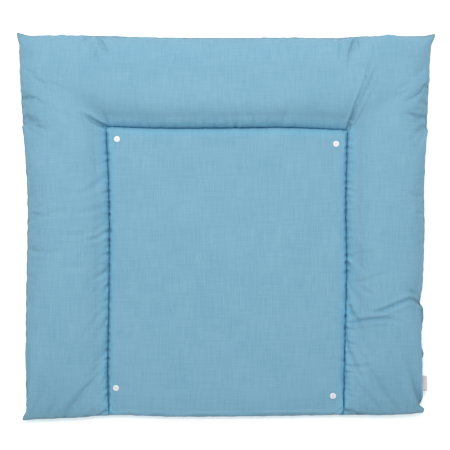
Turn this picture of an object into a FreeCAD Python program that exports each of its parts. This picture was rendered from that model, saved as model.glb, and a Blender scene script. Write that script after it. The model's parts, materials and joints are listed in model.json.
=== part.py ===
import FreeCAD, Part
import os
import Sketcher

# Changing pad: a flat padded centre with a stuffed rim on three sides (left, head and right).
# Frame: X across the pad, +Y towards the head end, Z up from the surface the pad lies on.
# The origin is on that surface, under the middle of the pad. Lengths are in millimetres.
#
# The pad folds along its two long channel seams, so it is three sections: the centre with the
# head rim, and a left and a right side section. Every section is a "pillow": the overlap of a
# profile drawn across the pad (XZ) and one drawn along it (YZ). A pillow narrows at all four
# edges to two layers of fabric, the seam margin, which lies in the plane z = seam_z.
# Each section has a filling, a top cover and a bottom cover. The covers are what is left of
# the outer pillow when the space for the filling is cut out of it.

SIZES = [
    # alias, millimetres
    ("pad_width", 800),  # between the tips of the corner ears, across
    ("pad_depth", 740),  # between the tips of the corner ears, foot to head
    ("side_edge", 378),  # centre line to the left or right edge seam
    ("end_edge", 361),  # middle of the pad to the head or foot edge seam
    ("channel_x", 228),  # centre line to a channel seam, which is also a fold line
    ("head_seam_y", 189),  # middle of the pad to the seam in front of the head rim
    ("seam_z", 14),  # height of every seam
    ("side_top", 56),
    ("head_top", 60),
    ("centre_top", 24),
    ("crown", 4),  # how much a rim's top rises between its shoulders
    ("fabric", 0.8),  # outer cotton with its backing
    ("fill_gap", 0.4),  # between a filling and its cover
    ("tip_gap", 6),  # a filling stops this far short of an outer edge seam
    ("margin", 2),  # flat seam margin along every edge of a section
    ("fold_gap", 1.2),  # from a fold line to the nearest edge of a section
    ("rim_run", 44),  # width of a rim's outer slope
    ("rim_bulge", 9),
    ("fold_run", 40),  # width of a rim's slope at a fold line
    ("centre_run", 9),  # width of the centre's slope at a fold line or the head seam
    ("foot_run", 16),
    ("foot_bulge", 2),
    ("under_run", 30),  # width of a rim's slope on the underside
    ("under_bulge", 3),
    ("centre_under_run", 16),
    ("ear_width", 26),
    ("thread_radius", 0.3),
    ("snap_head_left_x", 209),  # the snaps' distances from the middle of the pad
    ("snap_head_left_y", 167),
    ("snap_head_right_x", 211),
    ("snap_head_right_y", 158),
    ("snap_foot_left_x", 211),
    ("snap_foot_left_y", 310),
    ("snap_foot_right_x", 205),
    ("snap_foot_right_y", 325),
    ("socket_radius", 5.8),
    ("socket_base", 0.7),
    ("socket_height", 2.9),
    ("socket_ring_radius", 3.9),
    ("socket_bore_radius", 2.05),
    ("socket_edge", 0.3),
    ("cap_radius", 6.2),
    ("cap_thickness", 1.0),
    ("prong_radius", 0.8),
    ("prong_hole_radius", 1.0),
    ("rivet_radius", 1.5),
    ("rivet_seat_radius", 1.7),
    ("rivet_thickness", 0.4),
    ("cap_pocket_radius", 6.8),
    ("cap_pocket_depth", 1.2),
    ("label_length", 30),
    ("label_y", 301),  # the label's middle, towards the foot
    ("label_reach", 11),
    ("label_layer", 0.35),
    ("label_loop", 0.2),  # radius inside the ribbon's turn
    ("label_gap", 0.9),  # between the edge seam and the label
]

doc = FreeCAD.newDocument("ChangingPad")
sheet = doc.addObject("Spreadsheet::Sheet", "Sizes")


class Length:
    """A number of millimetres together with the sheet expression that gives it."""

    def __init__(self, value, text):
        self.value = value
        self.text = text

    @staticmethod
    def of(number):
        return number if isinstance(number, Length) else Length(float(number), repr(float(number)))

    def __add__(self, other):
        other = Length.of(other)
        return Length(self.value + other.value, f"({self.text} + {other.text})")

    def __sub__(self, other):
        other = Length.of(other)
        return Length(self.value - other.value, f"({self.text} - {other.text})")

    def __mul__(self, other):
        other = Length.of(other)
        return Length(self.value * other.value, f"({self.text} * {other.text})")

    def __truediv__(self, other):
        other = Length.of(other)
        return Length(self.value / other.value, f"({self.text} / {other.text})")

    def __neg__(self):
        return Length(-self.value, f"(-{self.text})")

    __rmul__ = __mul__


class Sizes:
    """The sheet's cells by alias, each as a Length."""


ZERO = Length.of(0)
d = Sizes()
for row, (alias, number) in enumerate(SIZES, start=1):
    sheet.set(f"A{row}", alias)
    sheet.set(f"B{row}", str(number))
    sheet.setAlias(f"B{row}", alias)
    setattr(d, alias, Length(float(number), f"Sizes.{alias}"))
doc.recompute()


def bind(obj, prop, length):
    obj.setExpression(prop, Length.of(length).text)


def place(obj, x=ZERO, y=ZERO, z=ZERO):
    for axis, length in zip("xyz", (x, y, z)):
        bind(obj, f"Placement.Base.{axis}", length)
    return obj


# ---- sketches ----------------------------------------------------------------------------


def line_to(x, y):
    return ("line", (x, y))


def arc_to(through, end):
    return ("arc", through, end)


def curve_to(start, end, bulge):
    """A line when bulge is None, or an arc that stands out from the chord to its upper left."""
    if bulge is None:
        return line_to(*end)
    dx, dy = end[0].value - start[0].value, end[1].value - start[1].value
    chord = (dx * dx + dy * dy) ** 0.5
    through = (
        (start[0] + end[0]) / 2 - bulge * (dy / chord),
        (start[1] + end[1]) / 2 + bulge * (dx / chord),
    )
    return arc_to(through, end)


def fix_point(sketch, geometry, vertex, point):
    """Ties a vertex to its sheet coordinates, measured from the sketch's origin."""
    for kind, axis, length in (("DistanceX", -2, point[0]), ("DistanceY", -1, point[1])):
        if length.value == 0:
            sketch.addConstraint(Sketcher.Constraint("PointOnObject", geometry, vertex, axis))
            continue
        index = sketch.addConstraint(
            Sketcher.Constraint(kind, -1, 1, geometry, vertex, length.value)
        )
        sketch.setExpression(f"Constraints[{index}]", length.text)


def vector(point):
    return FreeCAD.Vector(point[0].value, point[1].value, 0)


def draw_loop(sketch, start, steps):
    """A closed loop of lines and three-point arcs whose corners are all bound to the sheet."""
    first, here = None, start
    for step in steps:
        end = step[-1]
        if step[0] == "line":
            edge = Part.LineSegment(vector(here), vector(end))
            tail, head = 1, 2
        else:
            edge = Part.Arc(vector(here), vector(step[1]), vector(end))
            # The sketcher stores arcs counter-clockwise, so a clockwise one swaps its ends.
            a, b = vector(step[1]) - vector(here), vector(end) - vector(here)
            tail, head = (1, 2) if a.cross(b).z > 0 else (2, 1)
        index = sketch.addGeometry(edge, False)
        fix_point(sketch, index, head, end)
        if step[0] == "arc":
            point = sketch.addGeometry(Part.Point(vector(step[1])), True)
            fix_point(sketch, point, 1, step[1])
            sketch.addConstraint(Sketcher.Constraint("PointOnObject", point, 1, index))
        if first is None:
            first = (index, tail)
        else:
            sketch.addConstraint(Sketcher.Constraint("Coincident", *last, index, tail))
        last, here = (index, head), end
    sketch.addConstraint(Sketcher.Constraint("Coincident", *last, *first))


def new_body(name, plane):
    """A body with an empty sketch on one of its own origin planes."""
    body = doc.addObject("PartDesign::Body", name)
    sketch = body.newObject("Sketcher::SketchObject", f"{name}_sketch")
    origin_plane = next(f for f in body.Origin.OriginFeatures if f.Role == plane)
    sketch.AttachmentSupport = [(origin_plane, "")]
    sketch.MapMode = "FlatFace"
    return body, sketch


def padded_body(name, plane, loops, length):
    """A body padded the same distance to both sides of its sketch."""
    body, sketch = new_body(name, plane)
    for start, steps in loops:
        draw_loop(sketch, start, steps)
    pad = body.newObject("PartDesign::Pad", f"{name}_pad")
    pad.Profile = sketch
    pad.SideType = "Symmetric"
    bind(pad, "Length", length)
    body.Tip = pad
    return body


def turned_body(name, outline):
    """A body turned about Z from a half section in XZ, given as corner points."""
    body, sketch = new_body(name, "XZ_Plane")
    corners = [(Length.of(x), Length.of(z)) for x, z in outline]
    draw_loop(sketch, corners[0], [line_to(*corner) for corner in corners[1:] + corners[:1]])
    turn = body.newObject("PartDesign::Revolution", f"{name}_turn")
    turn.Profile = sketch
    turn.ReferenceAxis = (sketch, ["V_Axis"])
    turn.Angle = 360
    body.Tip = turn
    return body


# ---- booleans ------------------------------------------------------------------------------


def boolean(kind, name, base, tool):
    result = doc.addObject(f"Part::{kind}", name)
    result.Base = base
    result.Tool = tool
    return result


def fuse_all(name, objects):
    result = doc.addObject("Part::MultiFuse", name)
    result.Shapes = objects
    return result


def group(name, objects):
    """Separate solids that are one sub-part."""
    result = doc.addObject("Part::Compound", name)
    result.Links = objects
    return result


def mirrored(name, source):
    """The same piece on the other side of the centre line."""
    result = doc.addObject("Part::Mirroring", name)
    result.Source = source
    result.Base = FreeCAD.Vector(0, 0, 0)
    result.Normal = FreeCAD.Vector(1, 0, 0)
    return result


# ---- pillows -------------------------------------------------------------------------------


class Edge:
    """One edge of a pillow's profile: the slope from the seam margin up to the shoulder."""

    def __init__(self, run, bulge=None, outer=False, under=d.under_run):
        self.run = run
        self.bulge = bulge
        self.tip_gap = d.tip_gap if outer else ZERO
        self.under = under


RIM_OUTSIDE = Edge(d.rim_run, d.rim_bulge, outer=True)
RIM_AT_FOLD = Edge(d.fold_run)
CENTRE_AT_SEAM = Edge(d.centre_run, under=d.centre_under_run)
CENTRE_AT_FOOT = Edge(d.foot_run, d.foot_bulge, outer=True, under=d.centre_under_run)


def closed_profile(top, crown, low_edge, high_edge, low, high):
    """The loop through a pillow profile's corners. For the edge at the low end and the edge at
    the high end, these are: above and below, where its slopes meet the seam margin; shoulder
    and foot, where they meet the top and the underside; and corners, round the margin."""
    shoulder_low, shoulder_high = low["shoulder"], high["shoulder"]
    steps = []
    if low["above"] is not low["start"]:
        steps.append(line_to(*low["above"]))
    steps.append(curve_to(low["above"], shoulder_low, low_edge.bulge))
    if crown is None:
        steps.append(line_to(*shoulder_high))
    else:
        steps.append(arc_to(((shoulder_low[0] + shoulder_high[0]) / 2, top), shoulder_high))
    steps.append(curve_to(shoulder_high, high["above"], high_edge.bulge))
    for corner in high["corners"]:
        steps.append(line_to(*corner))
    steps.append(curve_to(high["below"], high["foot"], d.under_bulge))
    steps.append(line_to(*low["foot"]))
    steps.append(curve_to(low["foot"], low["below"], d.under_bulge))
    for corner in low["corners"]:
        steps.append(line_to(*corner))
    return low["start"], steps


def outer_profile(span, top, crown, low_edge, high_edge):
    """A pillow's outline, with a flat seam margin of two fabric layers at both edges."""
    above, below = d.seam_z + d.fabric, d.seam_z - d.fabric
    shoulder_z = top - crown if crown else top
    start = (ZERO, above)
    low = {
        "start": start,
        "above": (d.margin, above),
        "shoulder": (low_edge.run, shoulder_z),
        "below": (d.margin, below),
        "foot": (low_edge.under, ZERO),
        "corners": [(ZERO, below), start],
    }
    high = {
        "above": (span - d.margin, above),
        "shoulder": (span - high_edge.run, shoulder_z),
        "corners": [(span, above), (span, below), (span - d.margin, below)],
        "below": (span - d.margin, below),
        "foot": (span - high_edge.under, ZERO),
    }
    return closed_profile(top, crown, low_edge, high_edge, low, high)


def inner_profile(span, top, crown, low_edge, high_edge, inset, with_tip_gap):
    """The same outline moved inwards by inset. It ends in a point at each seam."""
    shoulder_z = (top - crown if crown else top) - inset
    tip_low = tip_high = d.margin + 1.5 * inset
    if with_tip_gap:
        tip_low = tip_low + low_edge.tip_gap
        tip_high = tip_high + high_edge.tip_gap
    start = (tip_low, d.seam_z)
    end = (span - tip_high, d.seam_z)
    low = {
        "start": start,
        "above": start,
        "shoulder": (low_edge.run + 0.5 * inset, shoulder_z),
        "below": start,
        "foot": (low_edge.under + 0.5 * inset, inset),
        "corners": [],
    }
    high = {
        "above": end,
        "shoulder": (span - high_edge.run - 0.5 * inset, shoulder_z),
        "corners": [],
        "below": end,
        "foot": (span - high_edge.under - 0.5 * inset, inset),
    }
    return closed_profile(top - inset, crown, low_edge, high_edge, low, high)


class Section:
    """Where one pillow lies and how its four edges slope."""

    def __init__(self, name, x, y, top, crown, across, along):
        self.name = name
        self.x, self.y = x, y  # (lowest, highest) coordinate of the pillow
        self.top, self.crown = top, crown
        self.across, self.along = across, along  # (edge at the lowest, edge at the highest)

    def pillow(self, name, profile, *options):
        """The overlap of the profile across the pad and the profile along it."""
        sides = []
        for plane, (low, high), edges, axis, reach in (
            ("XZ_Plane", self.x, self.across, "x", 3 * d.end_edge),
            ("YZ_Plane", self.y, self.along, "y", 3 * d.side_edge),
        ):
            loop = profile(high - low, self.top, self.crown, *edges, *options)
            side = padded_body(f"{name}_{axis}", plane, [loop], reach)
            sides.append(place(side, **{axis: low}))
        return boolean("Common", name, *sides)

    def outer(self):
        return self.pillow(f"{self.name}_outer", outer_profile)

    def space(self):
        return self.pillow(f"{self.name}_space", inner_profile, d.fabric, False)

    def filling(self):
        return self.pillow(f"{self.name}_filling", inner_profile, d.fabric + d.fill_gap, True)


FOLD_LOW = d.fold_gap - d.channel_x
FOLD_HIGH = d.channel_x - d.fold_gap
SIDE = Section(
    "side",
    (-d.side_edge, -(d.channel_x + d.fold_gap)),
    (-d.end_edge, d.end_edge),
    d.side_top,
    d.crown,
    (RIM_OUTSIDE, RIM_AT_FOLD),
    (RIM_OUTSIDE, RIM_OUTSIDE),
)
CENTRE = Section(
    "centre",
    (FOLD_LOW, FOLD_HIGH),
    (-d.end_edge, d.head_seam_y),
    d.centre_top,
    None,
    (CENTRE_AT_SEAM, CENTRE_AT_SEAM),
    (CENTRE_AT_FOOT, CENTRE_AT_SEAM),
)
HEAD = Section(
    "head",
    (FOLD_LOW, FOLD_HIGH),
    (d.head_seam_y, d.end_edge),
    d.head_top,
    d.crown,
    (RIM_AT_FOLD, RIM_AT_FOLD),
    (RIM_AT_FOLD, RIM_OUTSIDE),
)


def above_seams():
    """Everything above the plane of the seams."""
    box = doc.addObject("Part::Box", "above_seams")
    bind(box, "Length", 2 * d.pad_width)
    bind(box, "Width", 2 * d.pad_depth)
    bind(box, "Height", 2 * d.head_top)
    return place(box, -d.pad_width, -d.pad_depth, d.seam_z)


def corner_ears():
    """Flat pointed corners on the left side, which the filling doesn't reach. Each is a kite
    from the pad's corner to the tip of its ear."""
    edge_x = d.pad_width / 2 - d.side_edge
    edge_y = d.pad_depth / 2 - d.end_edge
    far_y = d.pad_depth
    foot = [
        (ZERO, ZERO),
        (edge_x + d.ear_width, edge_y + ZERO),
        (edge_x + d.margin, edge_y + d.margin),
        (edge_x + ZERO, edge_y + d.ear_width),
    ]
    loops = []
    for corners in (foot, [(x, far_y - y) for x, y in foot]):
        loops.append((corners[0], [line_to(*c) for c in corners[1:] + corners[:1]]))
    ears = padded_body("corner_ears", "XY_Plane", loops, 2 * d.fabric)
    return place(ears, -d.pad_width / 2, -d.pad_depth / 2, d.seam_z)


def split_cover(name, outer, space, upper):
    """The top and the bottom cover: the outer shape less the filling's space, cut in two."""
    shell = boolean("Cut", f"{name}_shell", outer, space)
    top = boolean("Common", f"top_cover_{name}", shell, upper)
    bottom = boolean("Cut", f"bottom_cover_{name}", shell, upper)
    return top, bottom


# ---- snaps, thread and label ---------------------------------------------------------------


def rod(name, x, y, z, length, axis):
    """A straight thread along X or Y from its lowest end."""
    cylinder = doc.addObject("Part::Cylinder", name)
    bind(cylinder, "Radius", d.thread_radius)
    bind(cylinder, "Height", length)
    direction = FreeCAD.Vector(0, 1, 0) if axis == "x" else FreeCAD.Vector(-1, 0, 0)
    cylinder.Placement = FreeCAD.Placement(
        FreeCAD.Vector(), FreeCAD.Rotation(direction, 90)
    )
    return place(cylinder, x, y, z)


def channel_stitching(name, x, y, length, axis):
    """A lockstitch seam through both covers: the needle thread above, the bobbin thread below."""
    rise = d.fabric + d.thread_radius
    needle = rod(f"{name}_needle", x, y, d.seam_z + rise, length, axis)
    bobbin = rod(f"{name}_bobbin", x, y, d.seam_z - rise, length, axis)
    return group(name, [needle, bobbin])


def side_edge_stitching():
    """The thread of the left edge seam, inside the cover, round three sides of the section."""
    inset = d.margin + 3 * d.fabric
    x = inset - d.side_edge
    y = inset - d.end_edge
    run_x = d.side_edge - d.channel_x - d.fold_gap - 2 * inset
    run_y = 2 * (d.end_edge - inset)
    rods = [
        rod("side_thread", x, y, d.seam_z, run_y, "y"),
        rod("side_thread_foot", x, y, d.seam_z, run_x, "x"),
        rod("side_thread_head", x, -y, d.seam_z, run_x, "x"),
    ]
    return fuse_all("left_edge_stitching", rods)


def end_edge_stitching(name, y):
    """The thread of the head or foot edge seam of the centre, inside the cover."""
    x = FOLD_LOW + d.margin + 3 * d.fabric
    return rod(name, x, y, d.seam_z, -2 * x, "x")


def snap_socket(name):
    """The half that faces up. A stud on a liner presses into its bore, whose floor has a seat
    for the rivet head."""
    floor = d.socket_base + d.rivet_thickness
    outline = [
        (d.prong_hole_radius, ZERO),
        (d.socket_radius - d.socket_edge, ZERO),
        (d.socket_radius, d.socket_edge),
        (d.socket_radius, floor),
        (d.socket_radius - d.socket_edge, floor + d.socket_edge),
        (d.socket_ring_radius + d.socket_edge, floor + d.socket_edge),
        (d.socket_ring_radius, d.socket_height - d.socket_edge),
        (d.socket_ring_radius - d.socket_edge, d.socket_height),
        (d.socket_bore_radius, d.socket_height),
        (d.socket_bore_radius, floor),
        (d.rivet_seat_radius, floor),
        (d.rivet_seat_radius, d.socket_base),
        (d.prong_hole_radius, d.socket_base),
    ]
    return turned_body(name, outline)


def snap_cap(name):
    """The half under the fabric. Its prong goes up through the fabric and the socket, and is
    flattened into a rivet head, flush with the floor of the socket's bore."""
    shank = d.fabric + d.socket_base
    outline = [
        (ZERO, -d.cap_thickness),
        (d.cap_radius - d.socket_edge, -d.cap_thickness),
        (d.cap_radius, d.socket_edge - d.cap_thickness),
        (d.cap_radius, ZERO),
        (d.prong_radius, ZERO),
        (d.prong_radius, shank),
        (d.rivet_radius, shank),
        (d.rivet_radius, shank + d.rivet_thickness),
        (ZERO, shank + d.rivet_thickness),
    ]
    return turned_body(name, outline)


def disc(name, radius, height, x, y, z):
    cylinder = doc.addObject("Part::Cylinder", name)
    bind(cylinder, "Radius", radius)
    bind(cylinder, "Height", height)
    return place(cylinder, x, y, z)


def side_label():
    """A blank ribbon folded in half, its ends towards the edge seam and its turn outside."""
    inner, layer = d.label_loop, d.label_layer
    outer = inner + layer
    straight = d.label_reach - outer
    start = (ZERO, outer)
    steps = [
        line_to(straight, outer),
        arc_to((straight + outer, ZERO), (straight, -outer)),
        line_to(ZERO, -outer),
        line_to(ZERO, -inner),
        line_to(straight, -inner),
        arc_to((straight + inner, ZERO), (straight, inner)),
        line_to(ZERO, inner),
        line_to(ZERO, outer),
    ]
    label = padded_body("side_label", "XZ_Plane", [(start, steps)], d.label_length)
    return place(label, d.side_edge + d.label_gap, -d.label_y, d.seam_z)


# ---- assembly ------------------------------------------------------------------------------


def side_sections(upper):
    """The left section, and the right one as its mirror image."""
    outer = boolean("Fuse", "side_outer_with_ears", SIDE.outer(), corner_ears())
    top, bottom = split_cover("left", outer, SIDE.space(), upper)
    left = {
        "left_rim_filling": SIDE.filling(),
        "top_cover_left": top,
        "bottom_cover_left": bottom,
        "left_edge_stitching": side_edge_stitching(),
    }
    pieces = dict(left)
    for name, piece in left.items():
        right = name.replace("left", "right")
        pieces[right] = mirrored(right, piece)
    return pieces


def snaps(top_cover, filling):
    """Four snaps near the centre's corners, with their holes in the cover and their pockets in
    the filling. Returns the pieces, the drilled cover and the pocketed filling."""
    places = {
        "head_left": (-d.snap_head_left_x, d.snap_head_left_y),
        "head_right": (d.snap_head_right_x, d.snap_head_right_y),
        "foot_left": (-d.snap_foot_left_x, -d.snap_foot_left_y),
        "foot_right": (d.snap_foot_right_x, -d.snap_foot_right_y),
    }
    pieces, holes, pockets = {}, [], []
    for corner, (x, y) in places.items():
        under_fabric = d.centre_top - d.fabric
        socket = place(snap_socket(f"snap_socket_{corner}"), x, y, d.centre_top)
        cap = place(snap_cap(f"snap_cap_{corner}"), x, y, under_fabric)
        pieces[f"snap_socket_{corner}"] = socket
        pieces[f"snap_cap_{corner}"] = cap
        low, deep = under_fabric - d.fabric, under_fabric - d.fill_gap - d.cap_pocket_depth
        holes.append(disc(f"hole_{corner}", d.prong_hole_radius, 3 * d.fabric, x, y, low))
        pockets.append(
            disc(f"pocket_{corner}", d.cap_pocket_radius, 2 * d.cap_pocket_depth, x, y, deep)
        )
    drilled = boolean("Cut", "top_cover_centre", top_cover, fuse_all("snap_holes", holes))
    pocketed = boolean("Cut", "centre_filling", filling, fuse_all("cap_pockets", pockets))
    pieces["top_cover_centre"] = drilled
    pieces["centre_filling"] = pocketed
    return pieces


def centre_section(upper):
    """The padded centre and the head rim, which share one pair of covers."""
    outer = boolean("Fuse", "middle_outer", CENTRE.outer(), HEAD.outer())
    space = boolean("Fuse", "middle_space", CENTRE.space(), HEAD.space())
    top, bottom = split_cover("middle", outer, space, upper)
    pieces = snaps(top, CENTRE.filling())
    pieces["bottom_cover_centre"] = bottom
    pieces["head_rim_filling"] = HEAD.filling()

    edge_inset = d.margin + 3 * d.fabric
    pieces["head_edge_stitching"] = end_edge_stitching(
        "head_edge_stitching", d.end_edge - edge_inset
    )
    pieces["foot_edge_stitching"] = end_edge_stitching(
        "foot_edge_stitching", edge_inset - d.end_edge
    )
    seam_x = d.channel_x - d.fold_gap - d.margin / 2
    seam_length = d.end_edge + d.head_seam_y - 3 * d.margin
    left = channel_stitching(
        "left_channel_stitching", -seam_x, 1.5 * d.margin - d.end_edge, seam_length, "y"
    )
    pieces["left_channel_stitching"] = left
    pieces["right_channel_stitching"] = mirrored("right_channel_stitching", left)
    head_x = seam_x - d.margin
    pieces["head_channel_stitching"] = channel_stitching(
        "head_channel_stitching", -head_x, d.head_seam_y, 2 * head_x, "x"
    )
    return pieces


def check(pieces):
    """Stops if any object failed to compute or any sub-part isn't a good closed shape."""
    for obj in doc.Objects:
        if "Invalid" in obj.State or "Error" in obj.State:
            raise RuntimeError(f"{obj.Name} failed: {obj.State}")
    for name, piece in pieces.items():
        shape = piece.Shape
        if shape.isNull() or not shape.isValid() or not shape.Solids:
            raise RuntimeError(f"{name} has no valid solid")
        if any(solid.Volume <= 0 or not solid.isClosed() for solid in shape.Solids):
            raise RuntimeError(f"{name} has an open or inside-out solid")


def export(pieces):
    os.makedirs("parts", exist_ok=True)
    for name, piece in sorted(pieces.items()):
        piece.Label = name
        piece.Shape.exportStep(os.path.join("parts", f"{name}.step"))
        solids = len(piece.Shape.Solids)
        print(f"{name}: {solids} solid(s), {piece.Shape.Volume / 1000:.2f} cm3")


upper_half = above_seams()
parts = {**side_sections(upper_half), **centre_section(upper_half), "side_label": side_label()}
doc.recompute()
check(parts)
export(parts)
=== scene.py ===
"""The look of the changing pad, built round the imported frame.

The cotton cover is two flat-cut panels, a top and a bottom one. Each is a grid of vertices that
knows two places: where it lies in the flat cut ("pattern") and where the sewn pad holds it. The
panels are cut larger than the sewn pad, so when the seams are pinned at their sewn places and
air pressure stands in for the stuffing, the cloth rises into rims and puckers at its seams.
Lengths are in metres; millimetres are written with MM.
"""

import json
import math

import bpy
import numpy as np
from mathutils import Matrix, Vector, kdtree
from mathutils import noise as blender_noise


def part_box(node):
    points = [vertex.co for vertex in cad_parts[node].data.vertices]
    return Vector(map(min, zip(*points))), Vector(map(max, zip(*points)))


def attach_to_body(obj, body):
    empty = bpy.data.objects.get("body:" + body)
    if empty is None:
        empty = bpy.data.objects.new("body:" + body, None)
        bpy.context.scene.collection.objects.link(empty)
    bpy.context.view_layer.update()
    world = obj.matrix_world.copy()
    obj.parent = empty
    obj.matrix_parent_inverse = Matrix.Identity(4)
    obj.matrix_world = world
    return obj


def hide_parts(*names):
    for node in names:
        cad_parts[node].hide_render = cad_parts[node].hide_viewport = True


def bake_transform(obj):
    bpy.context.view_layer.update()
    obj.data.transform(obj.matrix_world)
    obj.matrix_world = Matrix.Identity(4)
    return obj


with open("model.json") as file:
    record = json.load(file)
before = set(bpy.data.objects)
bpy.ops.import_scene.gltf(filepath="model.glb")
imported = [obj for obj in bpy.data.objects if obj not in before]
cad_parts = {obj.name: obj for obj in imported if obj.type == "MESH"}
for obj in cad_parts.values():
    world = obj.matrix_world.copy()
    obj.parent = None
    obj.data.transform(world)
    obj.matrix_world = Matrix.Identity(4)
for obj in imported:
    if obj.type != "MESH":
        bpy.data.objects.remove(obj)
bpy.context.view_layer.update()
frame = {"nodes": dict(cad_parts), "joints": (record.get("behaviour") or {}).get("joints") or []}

MM = 0.001

# ---- sizes from the frame ----


def joint(name):
    return next(j for j in frame["joints"] if j["name"] == name)


FOLD_X, _, FOLD_Z = joint("right_side_fold")["pos_m"]
EAR_TIP_X, EAR_TIP_Y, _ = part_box("bottom_cover_right")[1]
EAR_LENGTH = 22 * MM
EDGE_X = EAR_TIP_X - EAR_LENGTH
EDGE_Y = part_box("top_cover_centre")[1].y
HEAD_SEAM_Y = sum(corner.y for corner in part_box("head_channel_stitching")) / 2
CENTRE_TOP_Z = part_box("snap_socket_head_left")[0].z
SNAPS = [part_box(f"snap_socket_{corner}") for corner in
         ("head_left", "head_right", "foot_left", "foot_right")]
LABEL_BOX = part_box("side_label")

# ---- the cut of the cover ----

SIDE_CELLS = 34
CENTRE_CELLS = 80
BODY_CELLS = 140
HEAD_CELLS = 40

EDGE_Z = 17 * MM  # height of the edge seam
CHANNEL_Z = 14.5 * MM  # height of the channel seams
CREST_Z = 57 * MM  # height of a full rim
ROLL = 15 * MM  # strip of the flat centre that rolls down to a seam
EDGE_HELD = 0.38  # how far the edge seam at a head corner takes back the cut's extra size
CORNER_CUT = 0.82  # share of the rim's extra size that the head corners have

# How much longer the flat cut is than the sewn pad, as a share.
TOP_CUT = {
    "rim": 0.165,  # across a rim
    "gather": 0.008,  # along a side rim
    "head_gather": 0.010,  # along the head rim
    "end": 0.11,  # along a side rim where it comes down to the foot edge
    "roll": 0.22,
}
BOTTOM_CUT = {
    "rim": 0.05,
    "gather": 0.006,
    "head_gather": 0.008,
    "end": 0.04,
    "roll": 0.15,
}

# How far the sewn lines lie from the straight ones of the frame, in mm: (place along, offset).
LEFT_EDGE = [(-361, -6.5), (-345, -6), (-250, -6.3), (-141, -6.1), (-59, -4.4), (67, -3.8),
             (167, -10.2), (340, -19.2), (361, -19)]
RIGHT_EDGE = [(-361, 0.5), (-356, 2.8), (-351.5, 1.5), (-346.5, -7), (-341.5, -4.2), (-336.5, -2),
              (-330, -0.5), (-300, -1.5), (-258, -2.2), (-247, 1.5), (-236, -2), (-195, -1.6),
              (-170, 1), (-155, -0.5), (-147, -6), (-138, -4.5), (-120, -1.5), (-60, 1.5), (5, 3.4),
              (60, 2.4), (169, 6.5), (350, 16.2), (361, 17)]
LEFT_CHANNEL = [(-361, 3), (-294, 1), (-141, 3), (0, 3.6), (89, 2), (189, -2.6), (361, 0)]
RIGHT_CHANNEL = [(-361, -2.4), (-265, -0.5), (-189, 1.4), (-74, 3.7), (50, 2.4), (189, 5),
                 (361, 0)]
FOOT_EDGE = [(-378, -10.3), (-290, -6.7), (-230, -2.4), (-107, -5), (50, -4.2), (222, -1.6),
             (350, 0.3), (378, 3)]
HEAD_SEAM = [(-378, 2.8), (-230, 2.8), (-145, 0), (0, 0), (113, 1), (230, -3.5), (378, -3.5)]
HEAD_EDGE = [(-378, 5.2), (-318, 6), (-241, 5.2), (-159, 2.6), (-73, 1.4), (38, 1.3), (141, 1.9),
             (205, 0.8), (226, 1.6), (252, 3.6), (333, 5), (378, 3.8)]

rng = np.random.default_rng(8)


def cubic(start, end, start_slope, end_slope, gap, t):
    """A cubic from start to end with the given slopes, at t from 0 to 1 across the gap."""
    return ((2 * t**3 - 3 * t**2 + 1) * start + (t**3 - 2 * t**2 + t) * gap * start_slope
            + (3 * t**2 - 2 * t**3) * end + (t**3 - t**2) * gap * end_slope)


def curve(points, at):
    """A smooth curve through (place, offset) points given in mm, read at places in metres."""
    place, offset = (np.array(c, float) * MM for c in zip(*points))
    slope = np.gradient(offset, place)
    at = np.clip(at, place[0], place[-1])
    i = np.clip(np.searchsorted(place, at) - 1, 0, len(place) - 2)
    gap = place[i + 1] - place[i]
    t = (at - place[i]) / gap
    return cubic(offset[i], offset[i + 1], slope[i], slope[i + 1], gap, t)


def ripple(at, wavelengths, size):
    """Small irregular waves along a seam: a few sines of random phase, wavelengths in mm."""
    total = np.zeros_like(at)
    for wavelength in wavelengths:
        phase, share = rng.uniform(0, 2 * math.pi), rng.uniform(0.6, 1.0)
        total += share * np.sin(2 * math.pi * at / (wavelength * MM) + phase)
    return total * size / math.sqrt(len(wavelengths))


def smoothstep(low, high, value):
    t = np.clip((value - low) / (high - low), 0, 1)
    return t * t * (3 - 2 * t)


def closer_at_ends(cells, share):
    """Steps from 0 to 1 that are closer together at both ends, by that share."""
    even = np.linspace(0, 1, cells + 1)
    return even - share * np.sin(2 * math.pi * even) / (2 * math.pi)


class Grid:
    """The cover's vertices in rows (foot to head) and columns (left to right)."""

    def __init__(self):
        side = FOLD_X + (EDGE_X - FOLD_X) * closer_at_ends(SIDE_CELLS, 0.45)
        centre = FOLD_X * (2 * closer_at_ends(CENTRE_CELLS, 0.45) - 1)
        body = np.linspace(-EDGE_Y, HEAD_SEAM_Y, BODY_CELLS + 1)
        head = np.linspace(HEAD_SEAM_Y, EDGE_Y, HEAD_CELLS + 1)
        self.x = np.concatenate([-side[::-1], centre[1:-1], side])
        self.y = np.concatenate([body, head[1:]])
        self.left, self.right = SIDE_CELLS, SIDE_CELLS + CENTRE_CELLS  # channel columns
        self.seam = BODY_CELLS  # head seam row
        self.rows, self.columns = len(self.y), len(self.x)
        self.X, self.Y = np.meshgrid(self.x, self.y)

    def on_edge(self):
        edge = np.zeros((self.rows, self.columns), bool)
        edge[[0, -1], :] = True
        edge[:, [0, -1]] = True
        return edge

    def on_channel(self):
        channel = np.zeros((self.rows, self.columns), bool)
        channel[: self.seam + 1, [self.left, self.right]] = True
        channel[self.seam, self.left : self.right + 1] = True
        return channel

    def in_centre(self):
        """How far inside the flat centre a vertex is from the nearest of its four sides."""
        inside = np.minimum(FOLD_X - np.abs(self.X), HEAD_SEAM_Y - self.Y)
        return np.minimum(inside, self.Y + EDGE_Y)


grid = Grid()


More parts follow.
